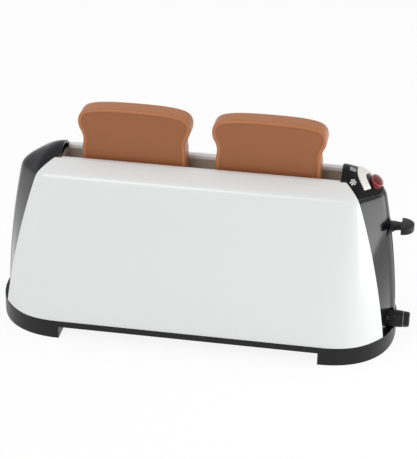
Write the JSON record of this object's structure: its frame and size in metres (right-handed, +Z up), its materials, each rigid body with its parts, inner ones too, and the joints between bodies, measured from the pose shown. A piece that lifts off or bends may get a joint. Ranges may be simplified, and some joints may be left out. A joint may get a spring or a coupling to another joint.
{
  "type": "toy toaster",
  "caption": "Long-slot play toaster with lift lever, pop-up carriage, clockwork timer knob, stop button, rocker switch and play toast slices.",
  "frame": {"origin": "on the standing surface, under the middle of the whole toy", "axes": "+X along the body to the end with the lever and the knob, -Y is the front, +Z up"},
  "size_m": [0.276, 0.102, 0.149],
  "materials": {
    "white_shell": "gloss",
    "black_gloss": "gloss",
    "black_satin": "satin",
    "panel_black": "high gloss",
    "ruby": "gloss, translucent on the real one",
    "switch_white": "gloss",
    "toast_brown": "satin",
    "well_beige": "matte",
    "inner_plastic": "matte",
    "steel": "bright",
    "brass": "bright"
  },
  "bodies": {
    "housing": {"base_screws": "steel", "base_tray": "black_satin", "bell": "steel", "bell_post": "steel", "button_spring": "steel", "control_panel": "panel_black", "front_shell": "white_shell", "guide_rod_left": "steel", "guide_rod_right": "steel", "latch_pin": "steel", "left_end_cap": "black_gloss", "lift_spring_left": "steel", "lift_spring_right": "steel", "mainspring": "steel", "rear_shell": "white_shell", "right_end_cap": "black_gloss", "rocker_pin": "steel", "striker_pin": "steel", "timer_nuts": "steel", "timer_pillars": "brass", "timer_plate_inner": "steel", "timer_plate_outer": "steel", "toast_well": "well_beige"},
    "carriage": {"carriage": "inner_plastic"},
    "lever": {"lever_arm": "black_satin", "lever_head": "black_satin"},
    "slice_left": {"toast_slice_left": "toast_brown"},
    "slice_right": {"toast_slice_right": "toast_brown"},
    "knob": {"timer_knob": "black_satin", "winding_arbor": "brass"},
    "second_wheel": {"second_wheel": "brass"},
    "third_wheel": {"third_wheel": "brass"},
    "pallet_lever": {"pallet_lever": "brass"},
    "striker": {"striker": "steel"},
    "latch": {"latch_hook": "inner_plastic"},
    "stop_button": {"stop_button": "ruby"},
    "rocker": {"rocker_switch": "switch_white"}
  },
  "joints": [
    {"name": "carriage_lift", "type": "slide", "parent": "housing", "child": "carriage", "axis": [0, 0, 1], "range_m": [-0.045, 0], "stiffness_N_per_m": 60, "springref_m": 0.08, "deforming": ["lift_spring_left", "lift_spring_right"]},
    {"name": "lever_slide", "type": "slide", "parent": "housing", "child": "lever", "axis": [-0.134, 0, 0.991], "range_m": [-0.04551, 0]},
    {"name": "slice_left_lift", "type": "slide", "parent": "carriage", "child": "slice_left", "axis": [0, 0, 1], "range_m": [0, 0.1]},
    {"name": "slice_right_lift", "type": "slide", "parent": "carriage", "child": "slice_right", "axis": [0, 0, 1], "range_m": [0, 0.1]},
    {"name": "knob_turn", "type": "hinge", "parent": "housing", "child": "knob", "pos_m": [0.1239, -0.0098, 0.0165], "axis": [1, 0, 0], "range_deg": [0, 300]},
    {"name": "second_wheel_turn", "type": "hinge", "parent": "housing", "child": "second_wheel", "pos_m": [0.0955, -0.01826, 0.03115], "axis": [1, 0, 0], "range_deg": [-121, 1]},
    {"name": "third_wheel_turn", "type": "hinge", "parent": "housing", "child": "third_wheel", "pos_m": [0.0955, -0.02008, 0.04596], "axis": [1, 0, 0], "range_deg": [-1, 46]},
    {"name": "pallet_rock", "type": "hinge", "parent": "housing", "child": "pallet_lever", "pos_m": [0.0955, -0.01608, 0.05916], "axis": [1, 0, 0], "range_deg": [-8, 8]},
    {"name": "striker_swing", "type": "hinge", "parent": "housing", "child": "striker", "pos_m": [0.0863, 0.0145, 0.0505], "axis": [0, 0, 1], "range_deg": [-4, 15]},
    {"name": "latch_swing", "type": "hinge", "parent": "housing", "child": "latch", "pos_m": [0.1045, 0.016, 0.0394], "axis": [0, 0, 1], "range_deg": [-50, 0]},
    {"name": "button_press", "type": "slide", "parent": "housing", "child": "stop_button", "axis": [0.5261, 0, 0.8505], "range_m": [-0.0025, 0], "stiffness_N_per_m": 300, "springref_m": 0.003, "deforming": ["button_spring"]},
    {"name": "rocker_tip", "type": "hinge", "parent": "housing", "child": "rocker", "pos_m": [0.0985, 0, 0.1102], "axis": [1, 0, 0], "range_deg": [-4, 4]}
  ],
  "couplings": [
    {"joint": "lever_slide", "follows": "carriage_lift", "ratio": 1.0091},
    {"joint": "second_wheel_turn", "follows": "knob_turn", "ratio": -0.4},
    {"joint": "third_wheel_turn", "follows": "knob_turn", "ratio": 0.14815}
  ]
}
